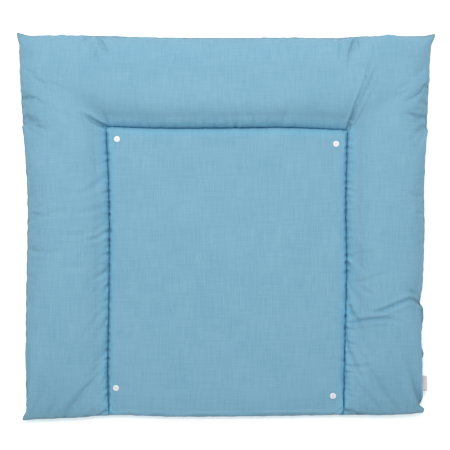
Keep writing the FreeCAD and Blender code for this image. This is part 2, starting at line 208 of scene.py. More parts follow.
def between_lines(places, offsets, at):
    """Offsets of the sewn lines, spread over the cloth between them."""
    i = np.clip(np.searchsorted(places, at) - 1, 0, len(places) - 2)
    t = (at - np.array(places)[i]) / (np.array(places)[i + 1] - np.array(places)[i])
    stack = np.stack(offsets)
    rows, columns = np.indices(at.shape)
    return (1 - t) * stack[i, rows, columns] + t * stack[i + 1, rows, columns]


def sewn_place():
    """X and Y of every vertex when the pad's seams are sewn."""
    edge_waves, channel_waves = (19, 31, 58), (12, 21, 43)
    across = []
    for points, waves, size in (
        (LEFT_EDGE, edge_waves, 0.5), (LEFT_CHANNEL, channel_waves, 0.55),
        (RIGHT_CHANNEL, channel_waves, 0.55), (RIGHT_EDGE, edge_waves, 0.5),
    ):
        offset = curve(points, grid.y) + ripple(grid.y, waves, size * MM)
        across.append(np.repeat(offset[:, None], grid.columns, 1))
    along = []
    for points, waves, size in (
        (FOOT_EDGE, edge_waves, 0.4), (HEAD_SEAM, channel_waves, 0.3), (HEAD_EDGE, edge_waves, 0.4),
    ):
        offset = curve(points, grid.x) + ripple(grid.x, waves, size * MM)
        along.append(np.repeat(offset[None, :], grid.rows, 0))
    x = grid.X + between_lines([-EDGE_X, -FOLD_X, FOLD_X, EDGE_X], across, grid.X)
    y = grid.Y + between_lines([-EDGE_Y, HEAD_SEAM_Y, EDGE_Y], along, grid.Y)
    return x, y


# The corner ears: (column, row, tip, how far from the corner the pull reaches).
EARS = [
    (0, -1, (-EAR_TIP_X - 2 * MM, EAR_TIP_Y + 2 * MM), 17 * MM),
    (-1, -1, (EAR_TIP_X + 2 * MM, EAR_TIP_Y - 0.5 * MM), 19 * MM),
    (0, 0, (-EAR_TIP_X + 9 * MM, -EAR_TIP_Y - 3 * MM), 18 * MM),
    (-1, 0, (EDGE_X, -EAR_TIP_Y + 12 * MM), 6 * MM),
]


def pull_ears(x, y):
    for column, row, (tip_x, tip_y), reach in EARS:
        distance = np.hypot(grid.X - grid.X[row, column], grid.Y - grid.Y[row, column])
        pull = smoothstep(reach, 1 * MM, distance)
        x = x + pull * (tip_x - x[row, column])
        y = y + pull * (tip_y - y[row, column])
    return x, y


def run_out(places, stretch, axis):
    """How far the stretch of the steps between places adds up, along an axis."""
    places, stretch = np.moveaxis(places, axis, 0), np.moveaxis(stretch, axis, 0)
    steps = np.diff(places, axis=0) * (stretch[1:] + stretch[:-1]) / 2
    total = np.concatenate([np.zeros_like(places[:1]), np.cumsum(steps, 0)])
    return np.moveaxis(total, 0, axis)


def flat_place(x, y, z, cut):
    """Every vertex's place in the flat cut, from its X and Y when the seams are sewn."""
    reach = np.abs(grid.X)
    from_side, from_head, from_foot = EDGE_X - reach, EDGE_Y - grid.Y, grid.Y + EDGE_Y
    in_side = smoothstep(FOLD_X, FOLD_X + 25 * MM, reach)
    in_head = smoothstep(HEAD_SEAM_Y, HEAD_SEAM_Y + 4 * MM, grid.Y)
    in_centre = (1 - in_side) * (1 - in_head)
    past_fold = smoothstep(FOLD_X, FOLD_X + 4 * MM, reach)
    corner = 1 - (1 - CORNER_CUT) * in_side * in_head

    held_back = 1 - EDGE_HELD * smoothstep(90 * MM, 0, from_head)
    held_back *= 1 - 0.8 * smoothstep(60 * MM, 0, from_foot)
    across = past_fold * cut["rim"] * corner * held_back
    across += (1 - past_fold) * in_head * cut["head_gather"]
    across += (1 - past_fold) * (1 - in_head) * cut["roll"] * (FOLD_X - reach < ROLL)

    middle = np.sin(math.pi * np.clip((reach - FOLD_X) / (EDGE_X - FOLD_X), 0, 1))
    coming_down = cut["end"] * middle * smoothstep(80 * MM, 20 * MM, from_foot)
    along = in_side * (1 - in_head) * (cut["gather"] + coming_down)
    along += in_head * cut["rim"] * corner * (1 - EDGE_HELD * smoothstep(90 * MM, 0, from_side))
    along += in_centre * cut["roll"] * (np.minimum(from_foot, HEAD_SEAM_Y - grid.Y) < ROLL)

    extra_x, extra_y = run_out(grid.X, across, 1), run_out(grid.Y, along, 0)
    middle_column = grid.columns // 2
    extra_x -= extra_x[:, middle_column : middle_column + 1]
    return np.stack([x + extra_x, y + extra_y - extra_y.mean(), z], -1)


# ---- cloth simulation ----

SEW_FRAMES = 8
SETTLE_FRAMES = 8
COTTON = {
    "quality": 6,
    "mass": 0.001,
    "tension_stiffness": 20,
    "compression_stiffness": 20,
    "shear_stiffness": 8,
    "bending_stiffness": 0.5,
    "tension_damping": 5,
    "compression_damping": 5,
    "shear_damping": 5,
    "bending_damping": 0.5,
    "air_damping": 1,
    "use_pressure": True,
    "uniform_pressure_force": 30,
    "pin_stiffness": 20,
}


def grid_faces(rows, columns, upwards):
    index = np.arange(rows * columns).reshape(rows, columns)
    corners = [index[:-1, :-1], index[:-1, 1:], index[1:, 1:], index[1:, :-1]]
    if not upwards:
        corners.reverse()
    return np.stack(corners, -1).reshape(-1, 4)


def weight_group(obj, name, weights):
    group = obj.vertex_groups.new(name=name)
    for level in np.unique(np.round(weights, 2)):
        if level > 0:
            members = np.nonzero(np.abs(weights - level) < 0.005)[0]
            group.add(members.tolist(), float(level), "REPLACE")


def add_object(name, data):
    obj = bpy.data.objects.new(name, data)
    bpy.context.scene.collection.objects.link(obj)
    return obj


def inflate(name, flat, sewn, pins, pressure, upwards):
    """Sews a flat-cut panel: its pinned vertices move to their sewn places while pressure lifts
    the rest. Returns every vertex's place."""
    mesh = bpy.data.meshes.new(name)
    mesh.from_pydata(flat.reshape(-1, 3).tolist(), [],
                     grid_faces(grid.rows, grid.columns, upwards).tolist())
    panel = add_object(name, mesh)
    panel.shape_key_add(name="flat")
    key = panel.shape_key_add(name="sewn")
    key.data.foreach_set("co", sewn.reshape(-1))
    key.value = 0
    key.keyframe_insert("value", frame=1)
    key.value = 1
    key.keyframe_insert("value", frame=SEW_FRAMES)
    weight_group(panel, "pinned", pins.reshape(-1))
    weight_group(panel, "stuffed", pressure.reshape(-1))

    cloth = panel.modifiers.new("cloth", "CLOTH")
    for setting, value in COTTON.items():
        setattr(cloth.settings, setting, value)
    cloth.settings.effector_weights.gravity = 0
    cloth.settings.vertex_group_pressure = "stuffed"
    cloth.settings.vertex_group_mass = "pinned"
    cloth.collision_settings.use_collision = False
    cloth.collision_settings.use_self_collision = False
    last = SEW_FRAMES + SETTLE_FRAMES
    cloth.point_cache.frame_start = 1
    cloth.point_cache.frame_end = last
    scene = bpy.context.scene
    scene.frame_start, scene.frame_end = 1, last
    for number in range(1, last + 1):
        scene.frame_set(number)
    done = panel.evaluated_get(bpy.context.evaluated_depsgraph_get()).data
    places = np.empty(len(done.vertices) * 3, np.float32)
    done.vertices.foreach_get("co", places)
    bpy.data.objects.remove(panel)
    scene.frame_set(1)
    return places.reshape(flat.shape).astype(float)


def noise(x, y, lump, seed, octaves=3):
    """Smooth noise from about -1 to 1, the same each run. lump is the size of its lumps."""
    layer = seed * 7.3
    values = [
        blender_noise.fractal((across / lump, along / lump, layer), 0.6, 2.0, octaves)
        for across, along in zip(x.reshape(-1).tolist(), y.reshape(-1).tolist())
    ]
    return np.array(values).reshape(x.shape)


def seam_heights(x, y):
    """Height of the edge seam, spread over the whole cloth, with the channel seams' own."""
    z = EDGE_Z + 1.3 * MM * noise(x, y, 60 * MM, 1)
    channel = grid.on_channel()
    z[channel] = CHANNEL_Z + 0.8 * MM * noise(x[channel], y[channel], 30 * MM, 2)
    flat_end = smoothstep(FOLD_X + 60 * MM, FOLD_X, np.abs(grid.X))
    flat_end *= grid.Y < -EDGE_Y + 1 * MM
    return z * (1 - flat_end) + CHANNEL_Z * flat_end


def snap_dimples(x, y):
    """1 at a snap, falling to 0 around it."""
    total = np.zeros_like(x)
    for low, high in SNAPS:
        middle = (low + high) / 2
        distance = np.hypot(x - middle.x, y - middle.y)
        total = np.maximum(total, np.exp(-np.clip(distance - 8 * MM, 0, None) ** 2 / (14 * MM) ** 2))
    return total


def top_panel(x, y):
    lumps = 0.9 * MM * noise(x, y, 90 * MM, 3) + 1.3 * MM
    centre_z = CENTRE_TOP_Z - 0.05 * MM + lumps * (1 - snap_dimples(x, y))
    inside = grid.in_centre()
    z = seam_heights(x, y)
    held = smoothstep(ROLL - 10 * MM, ROLL + 2 * MM, inside)
    centre_z = centre_z - 1.6 * MM * smoothstep(19 * MM, 6 * MM, inside)
    centre_z -= 3.5 * MM * smoothstep(44 * MM, 10 * MM, grid.Y + EDGE_Y)
    seams = grid.on_edge() | grid.on_channel()
    sewn_z = np.where((inside > 0.5 * MM) & ~seams, centre_z, z)
    pins = np.where(seams, 1.0, held)
    pressure = np.where(inside > 0, 0.5, 1.0)
    flat = flat_place(x, y, FOLD_Z + 1.5 * MM * noise(x, y, 35 * MM, 5, 4), TOP_CUT)
    sewn = np.stack([x, y, sewn_z], -1)
    return inflate("top_panel", flat, sewn, pins, pressure, True)


def bottom_panel(x, y):
    z = seam_heights(x, y)
    seams = grid.on_edge() | grid.on_channel()
    inside = grid.in_centre()
    out = np.minimum(EDGE_X - np.abs(grid.X), EDGE_Y - np.abs(grid.Y))
    rim = np.hypot(np.clip(np.abs(grid.X) - FOLD_X, 0, None),
                   np.clip(grid.Y - HEAD_SEAM_Y, 0, None))
    depth = np.minimum(out, np.where(inside > 0, inside, rim))
    held = smoothstep(24 * MM, 36 * MM, depth)
    floor = 0.25 * MM * (1 + noise(x, y, 50 * MM, 6))
    pins = np.where(seams, 1.0, held)
    sewn = np.stack([x, y, np.where(seams, z, floor)], -1)
    start_z = FOLD_Z - 4 * MM + 1.0 * MM * noise(x, y, 30 * MM, 7, 4)
    flat = flat_place(x, y, start_z, BOTTOM_CUT)
    return inflate("bottom_panel", flat, sewn, pins, np.ones_like(x), False)


def smooth(values, times):
    for _ in range(times):
        padded = np.pad(values, ((1, 1), (1, 1), *((0, 0),) * (values.ndim - 2)), mode="edge")
        around = padded[:-2, 1:-1] + padded[2:, 1:-1] + padded[1:-1, :-2] + padded[1:-1, 2:]
        values = values / 2 + around / 8
    return values


def fill_out(panel):
    """Stuffing holds a rim fuller than air does: steeper at its seams and flatter on top."""
    height = panel[..., 2]
    rise = CREST_Z - CHANNEL_Z
    share = np.clip((height - CHANNEL_Z) / rise, 0, 1)
    fuller = CHANNEL_Z + rise * (1 - (1 - share) ** 1.7)
    near_edge = np.minimum(EDGE_X - np.abs(grid.X), EDGE_Y - np.abs(grid.Y))
    raised = (fuller - height) * smoothstep(0, 9 * MM, near_edge)
    rim = (grid.in_centre() < 0) & (height > CHANNEL_Z)
    return np.stack([panel[..., 0], panel[..., 1], height + np.where(rim, raised, 0)], -1)


def close_channels(panel):
    """The rims and the flat centre press against each other over a channel, so that it shows as
    a narrow crevice: cloth near a channel moves towards it, less and less further away."""
    panel = panel.copy()
    body = grid.Y < HEAD_SEAM_Y
    up_the_side = smoothstep(0, 7 * MM, HEAD_SEAM_Y - grid.Y)
    up_the_side *= smoothstep(0, 20 * MM, grid.Y + EDGE_Y)
    along_the_head = smoothstep(0, 7 * MM, FOLD_X - np.abs(grid.X))
    for axis, line, faces_rim, where, fade in (
        (0, panel[:, grid.left, 0][:, None], grid.X < -FOLD_X, body, up_the_side),
        (0, panel[:, grid.right, 0][:, None], grid.X > FOLD_X, body, up_the_side),
        (1, panel[grid.seam, :, 1][None, :], grid.Y > HEAD_SEAM_Y, np.abs(grid.X) < FOLD_X,
         along_the_head),
    ):
        gap = panel[..., axis] - line
        reach = np.where(faces_rim, 20 * MM, 15 * MM)
        power = np.where(faces_rim, 1.8, 2.0)
        share = np.clip(np.abs(gap) / reach, 0, 1)
        closer = np.sign(gap) * reach * (share - share**power)
        panel[..., axis] -= np.where(where & (np.abs(gap) < reach), closer * fade, 0)
    return panel


def relax_corners(panel):
    """Evens out the creases that the sewing leaves round the inner and outer corners of the head,
    so that the folds laid there afterwards are the only ones."""
    panel = panel.copy()
    loose = (grid.in_centre() < 0) & ~grid.on_channel() & ~grid.on_edge()
    for row, column, reach, times in (
        (grid.seam, grid.left, 125 * MM, 40), (grid.seam, grid.right, 125 * MM, 40),
        (-1, 0, 80 * MM, 16), (-1, -1, 80 * MM, 16),
    ):
        corner = panel[row, column]
        distance = np.hypot(panel[..., 0] - corner[0], panel[..., 1] - corner[1])
        share = (smoothstep(reach, reach / 2, distance) * loose)[..., None]
        for _ in range(times):
            panel += share * (smooth(panel, 1) - panel)
    return panel


# ---- refining a panel ----


def refine_run(values):
    """Doubles the points along the first axis: a new one follows a cubic through four old ones."""
    padded = np.concatenate([2 * values[:1] - values[1:2], values, 2 * values[-1:] - values[-2:-1]])
    fine = np.empty((2 * len(values) - 1, *values.shape[1:]))
    fine[::2] = values
    fine[1::2] = (9 * (padded[1:-2] + padded[2:-1]) - padded[:-3] - padded[3:]) / 16
    return fine


def refine_blocks(values, breaks):
    """Doubles the points along the first axis without smoothing over the breaks."""
    ends = [0, *breaks, len(values) - 1]
    blocks = [refine_run(values[a : b + 1]) for a, b in zip(ends[:-1], ends[1:])]
    return np.concatenate([blocks[0], *(block[1:] for block in blocks[1:])])


def refine(panel):
    """Halves the grid's spacing. Channel seams stay sharp and the cloth round them smooth."""
    swap = (1, 0, 2)
    body = refine_blocks(panel[: grid.seam + 1].transpose(swap), [grid.left, grid.right])
    head = refine_blocks(panel[grid.seam + 1 :].transpose(swap), [])
    wide = np.concatenate([body.transpose(swap), head.transpose(swap)])
    left, right = 2 * grid.left, 2 * grid.right
    sides = [refine_blocks(wide[:, :left], []), refine_blocks(wide[:, right + 1 :], [])]
    middle = refine_blocks(wide[:, left : right + 1], [grid.seam])
    return np.concatenate([sides[0], middle, sides[1]], 1)


# ---- folds ----

# Folds in the top cover that the sewing leaves in set places. Each has its points in mm, how wide
# and how deep it is in mm, and how much of its depth it keeps at its first and its last point.
FOLDS = [
    # the head's left corner
    ([(-231, 190), (-250, 200), (-268, 211), (-288, 218)], 3.0, 4.6, 1, 0),
    ([(-233, 193), (-257, 199), (-284, 202), (-306, 210), (-350, 227)], 6.0, 1.6, 0.6, 0),
    ([(-229, 202), (-234, 213), (-238, 222)], 3.0, 1.0, 1, 0),
    # the head's right corner, a ridge between two folds
    ([(235, 188), (238, 203), (247, 230), (261, 266), (276, 318), (282, 345)], 2.9, 4.0, 1, 0),
    ([(241, 203), (251, 225), (260, 245), (268, 264), (276, 281), (283, 295)], 2.7, 4.2, 1, 0.2),
    # the head rim
    ([(-47, 352), (-37, 331), (-24, 306)], 3.5, 1.6, 0.8, 0),
    ([(-24, 345), (-18, 318), (-9, 294), (-5, 262)], 3.5, 1.6, 0.3, 0),
    ([(-24, 245), (-15, 224), (-8, 205)], 4.0, 1.2, 0, 0.6),
    ([(-2, 257), (7, 235), (15, 216), (18, 194)], 3.5, 2.2, 0, 1),
    ([(42, 245), (44, 222), (51, 196)], 4.0, 1.2, 0, 1),
    ([(34, 354), (35, 300), (36, 245)], 3.0, 1.1, 1, 0),
    ([(45, 354), (44, 300), (44, 250)], 3.0, 1.0, 1, 0),
    ([(121, 356), (121, 330)], 3.5, 1.5, 1, 0),
    ([(218, 356), (218, 316)], 4.0, 1.8, 1, 0),
    # the right rim
    ([(236, -158), (240, -168), (247, -176)], 4.0, 3.0, 1, 0.3),
    ([(272, -165), (292, -162), (322, -150), (352, -139), (370, -147)], 4.0, 3.6, 0, 1),
    ([(240, -185), (261, -180), (289, -176), (314, -177), (340, -186)], 4.0, 3.4, 1, 0),
    ([(240, -107), (259, -106), (289, -94), (318, -84)], 4.5, 1.6, 0.8, 0),
    ([(250, -113), (270, -127), (290, -137)], 4.0, 1.2, 0.3, 0),
    ([(344, -123), (356, -127), (370, -135)], 4.0, 2.0, 0, 0.8),
    ([(239, -57), (267, -50), (290, -49)], 4.0, 1.2, 1, 0),
    ([(236, -268), (261, -268), (292, -261)], 4.0, 1.5, 1, 0),
    # the left rim
    ([(-224, -8), (-240, -20), (-257, -25), (-280, -28)], 4.0, 2.0, 1, 0),
    ([(-252, -12), (-287, -17), (-330, -15)], 5.0, 1.3, 0, 0),
    ([(-226, -80), (-240, -94), (-262, -103)], 4.0, 1.6, 1, 0),
    ([(-380, 12), (-350, 18), (-317, 27), (-285, 30)], 5.0, 2.0, 0.8, 0),
    ([(-377, -44), (-336, -50), (-300, -50)], 5.0, 1.4, 0.7, 0),
    ([(-229, 96), (-254, 73), (-279, 62), (-310, 60)], 5.0, 1.5, 1, 0),
    ([(-227, 38), (-270, 27), (-300, 28)], 5.0, 1.3, 1, 0),
    ([(-257, -80), (-300, -78), (-330, -80)], 6.0, 1.0, 0, 0),
    # the flat centre, beside the right channel
    ([(192, -150), (210, -158), (230, -174)], 4.0, 0.9, 0, 1),
    ([(200, -177), (229, -193)], 4.0, 0.8, 0, 1),
    ([(196, -252), (228, -259)], 4.0, 0.8, 0, 1),
]
DEEP_FOLD = 2.9  # a fold deeper than this many mm gets painted crevice shade, like a seam's
FOLD_STEPS = 40  # places along a fold's line


def fold_line(points):
    """Places along a smooth line through the points, in metres."""
    points = np.array(points, float) * MM
    knots = np.linspace(0, 1, len(points))
    at = np.linspace(0, 1, FOLD_STEPS)
    slopes = np.gradient(points, knots, axis=0)
    i = np.clip(np.searchsorted(knots, at) - 1, 0, len(points) - 2)
    gap = knots[1]
    t = ((at - knots[i]) / gap)[:, None]
    return cubic(points[i], points[i + 1], slopes[i], slopes[i + 1], gap, t)


def fold_depth(x, y, points, width, depth, first, last):
    """How deep one fold is at each place: a narrow valley between two low, wider ridges."""
    line = fold_line(points)
    margin = 5 * width * MM
    low, high = line.min(0) - margin, line.max(0) + margin
    beside = (x > low[0]) & (x < high[0]) & (y > low[1]) & (y < high[1])
    depths = np.zeros_like(x)
    if beside.any():
        gaps = np.hypot(x[beside][:, None] - line[:, 0], y[beside][:, None] - line[:, 1])
        nearest = gaps.argmin(1)
        gap = gaps.min(1) / (width * MM)
        t = nearest / (len(line) - 1)
        kept = first + (1 - first) * np.clip(t / 0.3, 0, 1)
        kept *= last + (1 - last) * np.clip((1 - t) / 0.5, 0, 1)
        ridge = 0.42 * np.exp(-((gap - 2.1) ** 2))
        depths[beside] = depth * MM * kept * (np.exp(-(gap**2)) - ridge)
    return depths


def pucker_folds():
    """Short gathers that the stitching draws beside the channels, on the rims' side."""
    folds = []
    for sign in (-1, 1):
        place = -350
        while place < 180:
            place += rng.uniform(9, 27)
            seam = sign * FOLD_X / MM + 3
            reach, slant = rng.uniform(7, 20), rng.uniform(-9, 5)
            points = [(seam, place), (seam + sign * reach, place + slant)]
            folds.append((points, rng.uniform(2.2, 3.6), rng.uniform(0.4, 1.7), 1, 0))
    place = -215
    while place < 215:
        place += rng.uniform(14, 34)
        points = [(place, 190), (place + rng.uniform(-4, 4), 190 + rng.uniform(8, 20))]
        folds.append((points, rng.uniform(2.4, 3.6), rng.uniform(0.5, 1.2), 1, 0))
    return folds


def lay_folds(panel):
    """Presses the folds into a refined panel, square to its surface."""
    normals = vertex_normals(quad_normals(panel), *panel.shape[:2])
    depths = np.zeros(panel.shape[:2])
    for points, width, depth, first, last in FOLDS + pucker_folds():
        depths += fold_depth(panel[..., 0], panel[..., 1], points, width, depth, first, last)
    left, right, seam = 2 * grid.left, 2 * grid.right, 2 * grid.seam
    depths[[0, -1], :] = 0
    depths[:, [0, -1]] = 0
    depths[: seam + 1, [left, right]] = 0
    depths[seam, left : right + 1] = 0
    return panel - normals * depths[..., None]


# ---- meshes ----

CLOTH_THICKNESS = 0.8 * MM


def quad_normals(panel):
    diagonal_a = panel[1:, 1:] - panel[:-1, :-1]
    diagonal_b = panel[1:, :-1] - panel[:-1, 1:]
    return np.cross(diagonal_a, diagonal_b)


def vertex_normals(quads, rows, columns):
    total = np.zeros((rows, columns, 3))
    for dr in (0, 1):
        for dc in (0, 1):
            total[dr : rows - 1 + dr, dc : columns - 1 + dc] += quads
    return total / np.maximum(np.linalg.norm(total, axis=-1, keepdims=True), 1e-12)


def section_normals(panel, first, last, seam_row):
    """Normals of one section's vertices. Over the head rim, where no seam divides the
    sections, they take in the neighbouring section too, so that the shading runs on."""
    quads = quad_normals(panel)
    rows, columns = panel.shape[:2]
    own = np.zeros_like(quads)
    own[:, first:last] = quads[:, first:last]
    alone = vertex_normals(own, rows, columns)
    whole = vertex_normals(quads, rows, columns)
    for column in (first, last):
        if 0 < column < columns - 1:
            alone[seam_row + 1 :, column] = whole[seam_row + 1 :, column]
    return alone[:, first : last + 1]


def boundary(rows, columns):
    """Vertex numbers round a grid's outline, counter-clockwise, as a closed loop."""
    index = np.arange(rows * columns).reshape(rows, columns)
    return np.concatenate([index[0, :-1], index[:-1, -1], index[-1, :0:-1], index[:0:-1, 0]])


def two_skins(rows, columns, upwards):
    """Faces of two grids of vertices, the second behind the first, closed round the outline."""
    count = rows * columns
    faces = grid_faces(rows, columns, upwards).tolist()
    faces += (grid_faces(rows, columns, not upwards) + count).tolist()
    rim = boundary(rows, columns)
    for a, b in zip(rim, np.roll(rim, -1)):
        side = [int(a), int(a + count), int(b + count), int(b)]
        faces.append(side if upwards else side[::-1])
    return faces


def new_object(name, vertices, faces, normals=None):
    mesh = bpy.data.meshes.new(name)
    mesh.from_pydata(vertices.tolist(), [], faces)
    mesh.shade_smooth()
    if normals is not None:
        mesh.normals_split_custom_set_from_vertices(normals.tolist())
    mesh.update()
    return add_object(name, mesh)


def set_vectors(obj, name, values):
    """Stores a vector for each vertex, which a material reads."""
    attribute = obj.data.attributes.new(name, "FLOAT_VECTOR", "POINT")
    attribute.data.foreach_set("vector", values.astype(np.float32).reshape(-1))


def distances(places, line, height_counts=0):
    """How far each place is from a line of places close together: seen from above, or with the
    difference in height where that counts as 1."""
    scale = np.array((1, 1, height_counts))
    tree = kdtree.KDTree(len(line))
    for number, place in enumerate(line * scale):
        tree.insert(place, number)
    tree.balance()
    found = [tree.find(place)[2] for place in (places * scale).reshape(-1, 3)]
    return np.array(found).reshape(places.shape[:2])


# Widths of the painted light and shade along the seams: crevice shade, the lift of light beside a
# channel, shade on the edge seam, and the reach round the head's inner corners where crevice shade is
# weakened.
CREVICE_WIDTH = 1.2 * MM
BESIDE_WIDTH = 12 * MM
EDGE_WIDTH = 3 * MM
CORNER_WIDTH = 5 * MM


def near(gap, width):
    """1 on a line, falling to 0 beyond that width from it."""
    return np.exp(-((gap / width) ** 2))


def painted_light_and_shade(panel):
    """How strongly painted light and shade tint the cloth at each vertex. Painted shade, darker and
    bluer, lies in a seam's crevice and the deepest folds, weaker at the head's inner corners. A painted
    lift of light lies beside the channel seams, and painted shade lies on the outer edge seam."""
    left, right, seam = 2 * grid.left, 2 * grid.right, 2 * grid.seam
    runs = [panel[: seam + 1, left], panel[: seam + 1, right], panel[seam, left : right + 1]]
    channels = np.concatenate([refine_run(refine_run(run)) for run in runs])
    outline = np.concatenate([refine_run(refine_run(run)) for run in
                              (panel[0], panel[-1], panel[:, 0], panel[:, -1])])
    gap, rim_gap = distances(panel, channels), distances(panel, outline, height_counts=1)
    crevice = near(gap, CREVICE_WIDTH)
    # The deepest folds get painted crevice shade as well.
    for points, width, depth, first, last in FOLDS:
        if depth > DEEP_FOLD:
            crease = fold_depth(panel[..., 0], panel[..., 1], points, 0.6 * width, 1, first, last)
            crevice = np.maximum(crevice, 0.3 * crease / MM)
    corner_gap = distances(panel, panel[[seam, seam], [left, right]])
    crevice = crevice * (1 - 0.6 * near(corner_gap, CORNER_WIDTH))
    return np.stack([crevice, near(gap, BESIDE_WIDTH), near(rim_gap, EDGE_WIDTH)], -1)


def cover_piece(name, panel, pattern, tint, first, last, upwards):
    """One section of a panel as cloth with a thickness: a fine outer face, a coarser inner face
    and a rim that joins them. first and last are columns of the refined panel."""
    seam_row = 2 * grid.seam
    normals = section_normals(panel, first, last, seam_row)
    if not upwards:
        normals = -normals
    outer = panel[:, first : last + 1]
    rows, columns = outer.shape[:2]
    steps = np.minimum.reduce(np.broadcast_arrays(
        np.arange(rows)[:, None], np.arange(rows)[::-1, None],
        np.arange(columns)[None, :], np.arange(columns)[None, ::-1]))
    depth = CLOTH_THICKNESS * np.clip(0.15 + 0.25 * steps, 0, 1)
    inner = (outer - normals * depth[..., None])[::2, ::2]
    inner_rows, inner_columns = inner.shape[:2]
    count = rows * columns

    faces = grid_faces(rows, columns, upwards).tolist()
    faces += (grid_faces(inner_rows, inner_columns, not upwards) + count).tolist()
    fine = boundary(rows, columns)
    coarse = boundary(inner_rows, inner_columns) + count
    for i in range(len(coarse)):
        a, b, c = fine[2 * i], fine[2 * i + 1], fine[(2 * i + 2) % len(fine)]
        d, e = coarse[i], coarse[(i + 1) % len(coarse)]
        for face in ((a, d, b), (b, e, c), (b, d, e)):
            faces.append([int(v) for v in (face if upwards else face[::-1])])
    vertices = np.concatenate([outer.reshape(-1, 3), inner.reshape(-1, 3)])
    outwards = np.concatenate([normals.reshape(-1, 3), -normals[::2, ::2].reshape(-1, 3)])
    piece = new_object(name, vertices, faces, outwards)
    # The flat cut's place for the weave, and the amounts of painted light and shade along the seams.
    for attribute, values in (("pattern", pattern), ("painted_light_and_shade", tint)):
        own = values[:, first : last + 1]
        set_vectors(piece, attribute, np.concatenate([own.reshape(-1, 3), own[::2, ::2].reshape(-1, 3)]))
    return piece


# ---- materials ----


class Nodes:
    """Shorthand for building a material's node tree."""

    def __init__(self, name):
        self.material = bpy.data.materials.new(name)
        self.material.use_nodes = True
        self.tree = self.material.node_tree
        self.tree.nodes.clear()
        self.output = self.tree.nodes.new("ShaderNodeOutputMaterial")
        self.shader = self.tree.nodes.new("ShaderNodeBsdfPrincipled")
        self.link(self.shader.outputs[0], self.output.inputs["Surface"])

    def link(self, source, target):
        self.tree.links.new(source, target)

    def put(self, socket, value):
        if isinstance(value, bpy.types.NodeSocket):
            self.link(value, socket)
        else:
            socket.default_value = value

    def math(self, operation, a, b=0.0, clamp=False):
        node = self.tree.nodes.new("ShaderNodeMath")
        node.operation = operation
        node.use_clamp = clamp
        self.put(node.inputs[0], a)
        self.put(node.inputs[1], b)
        return node.outputs[0]

    def vector(self, name="pattern"):
        node = self.tree.nodes.new("ShaderNodeAttribute")
        node.attribute_name = name
        return node.outputs["Vector"]

    def object_place(self):
        return self.tree.nodes.new("ShaderNodeTexCoord").outputs["Object"]

    def scaled(self, vector, scale):
        node = self.tree.nodes.new("ShaderNodeVectorMath")
        node.operation = "MULTIPLY"
        self.put(node.inputs[0], vector)
        node.inputs[1].default_value = scale
        return node.outputs[0]

    def parts(self, vector):
        node = self.tree.nodes.new("ShaderNodeSeparateXYZ")
        self.put(node.inputs[0], vector)
        return node.outputs

    def noise(self, vector, scale=1.0, detail=2.0, roughness=0.5):
        node = self.tree.nodes.new("ShaderNodeTexNoise")
        self.put(node.inputs["Vector"], vector)
        node.inputs["Scale"].default_value = scale
        node.inputs["Detail"].default_value = detail
        node.inputs["Roughness"].default_value = roughness
        return node.outputs["Fac"]

    def mix(self, factor, a, b, blend="MIX"):
        node = self.tree.nodes.new("ShaderNodeMix")
        node.data_type = "RGBA"
        node.blend_type = blend
        self.put(node.inputs[0], factor)
        self.put(node.inputs[6], a)
        self.put(node.inputs[7], b)
        return node.outputs[2]

    def tinted(self, colour, factor, tint):
        return self.mix(factor, colour, (*tint, 1), "MULTIPLY")

    def varied(self, value, spread, base):
        return self.math("ADD", self.math("MULTIPLY", value, spread), base)

    def bump(self, height, strength, distance, normal=None):
        node = self.tree.nodes.new("ShaderNodeBump")
        node.inputs["Strength"].default_value = strength
        node.inputs["Distance"].default_value = distance
        self.put(node.inputs["Height"], height)
        if normal is not None:
            self.put(node.inputs["Normal"], normal)
        return node.outputs[0]

    def finish(self, colour, roughness, normal=None, sheen=0.0, specular=0.5, coat=0.0):
        self.put(self.shader.inputs["Base Color"], colour)
        self.put(self.shader.inputs["Roughness"], roughness)
        if normal is not None:
            self.put(self.shader.inputs["Normal"], normal)
        self.shader.inputs["Sheen Weight"].default_value = sheen
        self.shader.inputs["Specular IOR Level"].default_value = specular
        self.shader.inputs["Coat Weight"].default_value = coat
        return self.material


COTTON_PITCH = 0.45 * MM
RIBBON_PITCH = 0.25 * MM


def woven(nodes, pitch):
    """Plain weave from the flat cut's place: 1 where a warp thread is on top, -1 where a weft
    thread is, and 0 between threads."""
    place = nodes.parts(nodes.vector())
    turn = math.pi / pitch
    warp = nodes.math("SINE", nodes.math("MULTIPLY", place[0], turn))
    weft = nodes.math("SINE", nodes.math("MULTIPLY", place[1], turn))
    return nodes.math("MULTIPLY", warp, weft)


